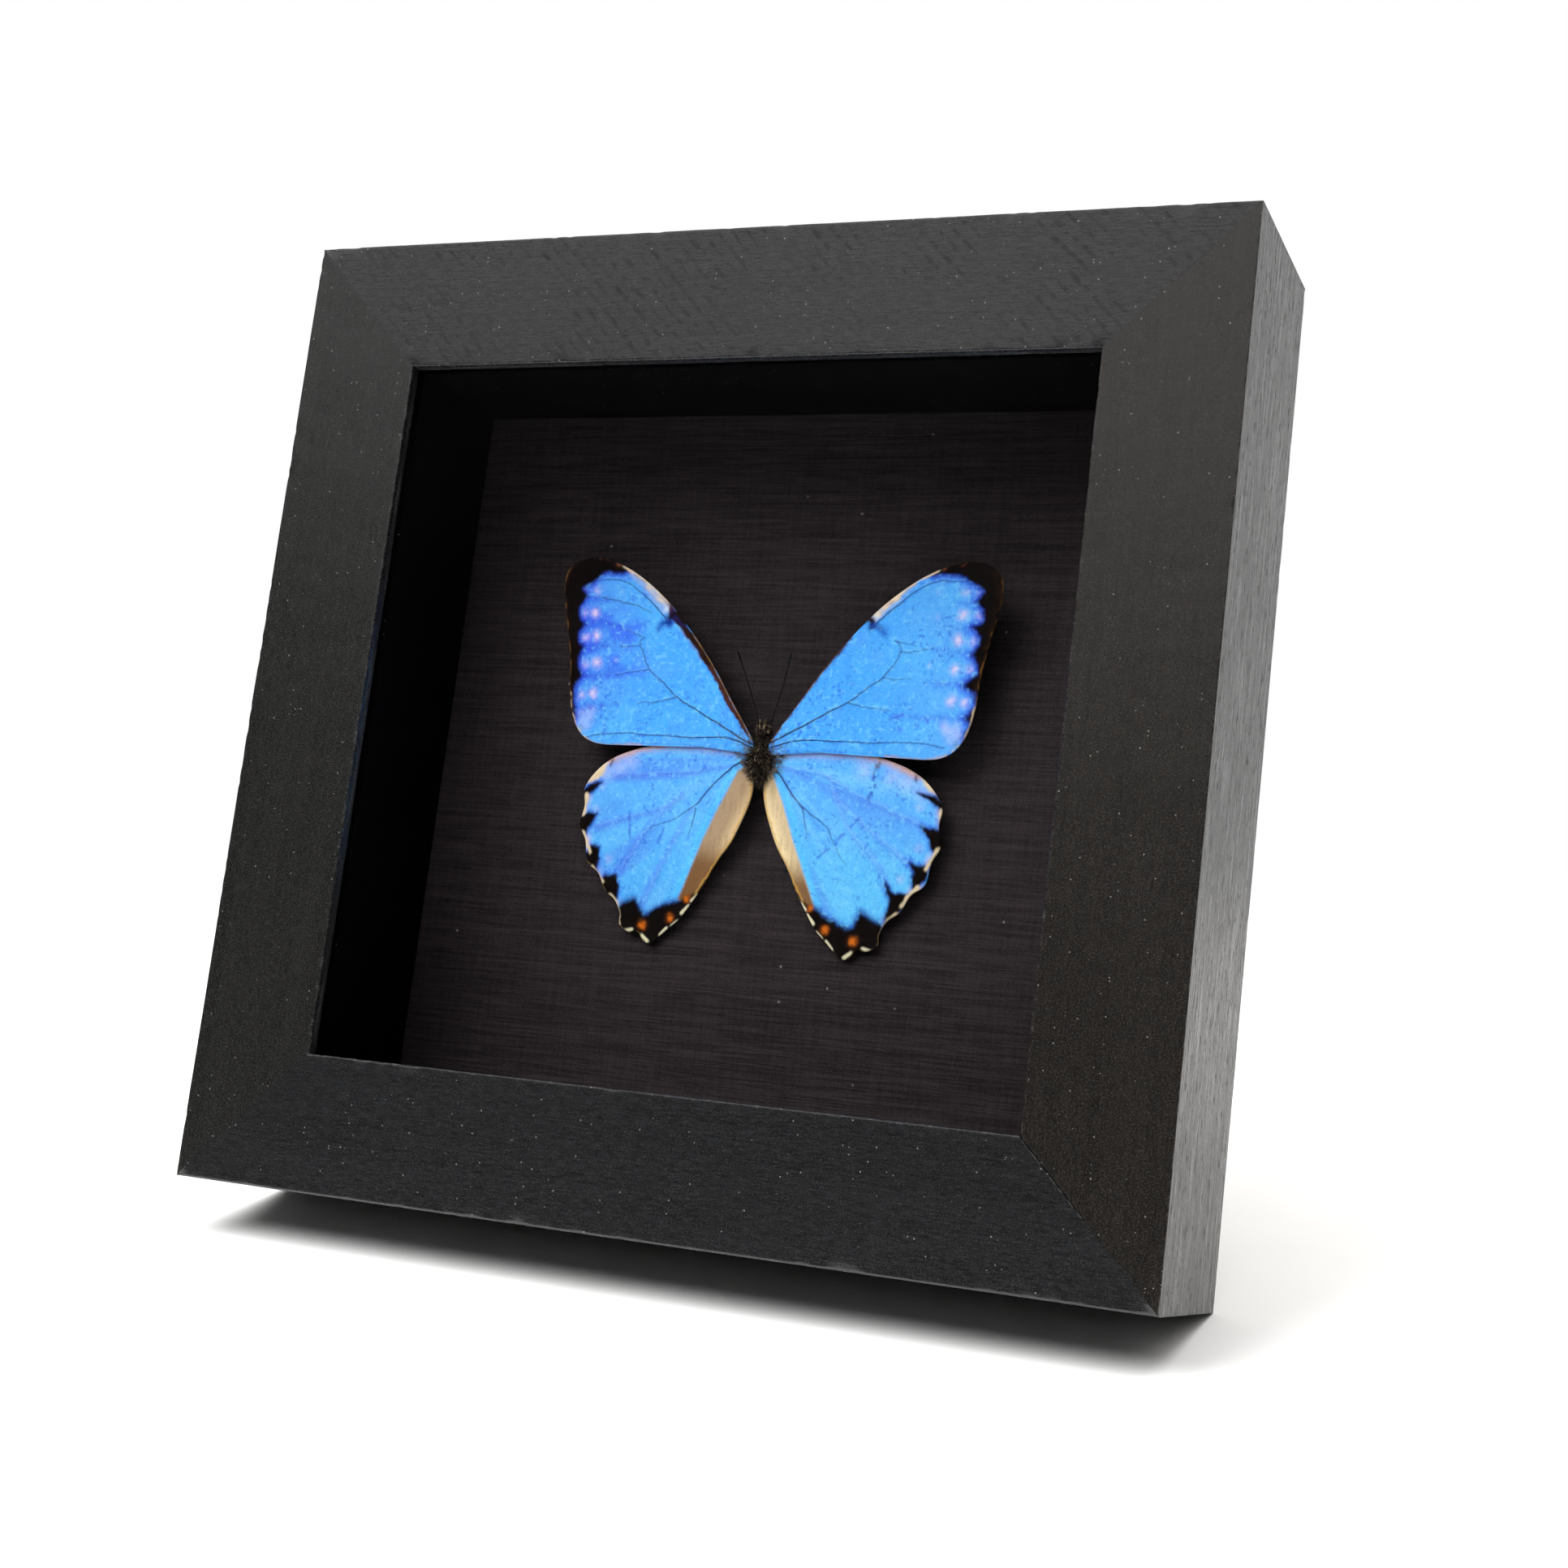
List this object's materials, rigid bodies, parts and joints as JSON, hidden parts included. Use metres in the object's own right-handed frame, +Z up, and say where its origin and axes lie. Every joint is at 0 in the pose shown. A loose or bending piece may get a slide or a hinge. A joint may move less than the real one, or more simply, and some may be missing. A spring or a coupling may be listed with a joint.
{
  "type": "butterfly display case",
  "caption": "Nearly square black wooden shadow-box frame with a glass front, a dark linen backing, a spread blue butterfly and a fold-out easel leg.",
  "frame": {"origin": "on the floor under the middle of the case as it stands on its lower rear edge and its open easel leg", "axes": "+Z up, the glass faces -Y and leans back, +X to the right seen from the front"},
  "size_m": [0.1524, 0.0848, 0.1519],
  "materials": {
    "black_wood": "black stained open-pored wood, matt",
    "black_liner": "black painted wood, matt",
    "bright_steel": "zinc plated",
    "yellow_steel": "yellow passivated zinc over steel",
    "black_steel": "black satin paint",
    "clear_glass": "polished clear picture glass",
    "linen_paper": "linen-embossed dark paper",
    "grey_card": "plain grey card",
    "hardboard": "smooth brown hardboard",
    "leg_board": "black coated hardboard",
    "cork": "fine cork",
    "blue_wing": "scaled blue insect wing",
    "dark_hair": "dark insect hair",
    "insect_eye": "dry faceted eye",
    "pale_scales": "pale scales",
    "dark_chitin": "dark chitin"
  },
  "bodies": {
    "case": {"rail_top": "black_wood", "rail_bottom": "black_wood", "rail_left": "black_wood", "rail_right": "black_wood", "corner_v_nails": "bright_steel", "glass_pane": "clear_glass", "liner_top": "black_liner", "liner_bottom": "black_liner", "liner_left": "black_liner", "liner_right": "black_liner", "linen_sheet": "linen_paper", "mount_board": "grey_card", "back_panel": "hardboard", "button_screws": "yellow_steel", "hanger": "yellow_steel", "hanger_nails": "yellow_steel", "easel_plate": "black_steel", "easel_plate_rivets": "bright_steel", "easel_pin": "bright_steel", "specimen_block": "cork", "forewing_left": "blue_wing", "forewing_right": "blue_wing", "hindwing_left": "blue_wing", "hindwing_right": "blue_wing", "thorax": "dark_hair", "head": "dark_hair", "eyes": "insect_eye", "palps": "pale_scales", "antenna_left": "dark_chitin", "antenna_right": "dark_chitin"},
    "easel": {"easel_leaf": "black_steel", "easel_leg": "leg_board", "easel_leg_rivets": "bright_steel"},
    "turn_left_upper": {"button_left_upper": "bright_steel"},
    "turn_left_lower": {"button_left_lower": "bright_steel"},
    "turn_right_upper": {"button_right_upper": "bright_steel"},
    "turn_right_lower": {"button_right_lower": "bright_steel"}
  },
  "joints": [
    {"name": "easel_hinge", "type": "hinge", "parent": "case", "child": "easel", "pos_m": [0, 0.01757, 0.0956], "axis": [-1, 0, 0], "range_deg": [0, 30]},
    {"name": "turn_left_upper_swivel", "type": "hinge", "parent": "case", "child": "turn_left_upper", "pos_m": [-0.0672, 0.01825, 0.10269], "axis": [0, 0.9613, -0.2756], "continuous": true},
    {"name": "turn_left_lower_swivel", "type": "hinge", "parent": "case", "child": "turn_left_lower", "pos_m": [-0.0672, 0.00033, 0.04021], "axis": [0, 0.9613, -0.2756], "continuous": true},
    {"name": "turn_right_upper_swivel", "type": "hinge", "parent": "case", "child": "turn_right_upper", "pos_m": [0.0672, 0.01825, 0.10269], "axis": [0, 0.9613, -0.2756], "continuous": true},
    {"name": "turn_right_lower_swivel", "type": "hinge", "parent": "case", "child": "turn_right_lower", "pos_m": [0.0672, 0.00033, 0.04021], "axis": [0, 0.9613, -0.2756], "continuous": true}
  ]
}
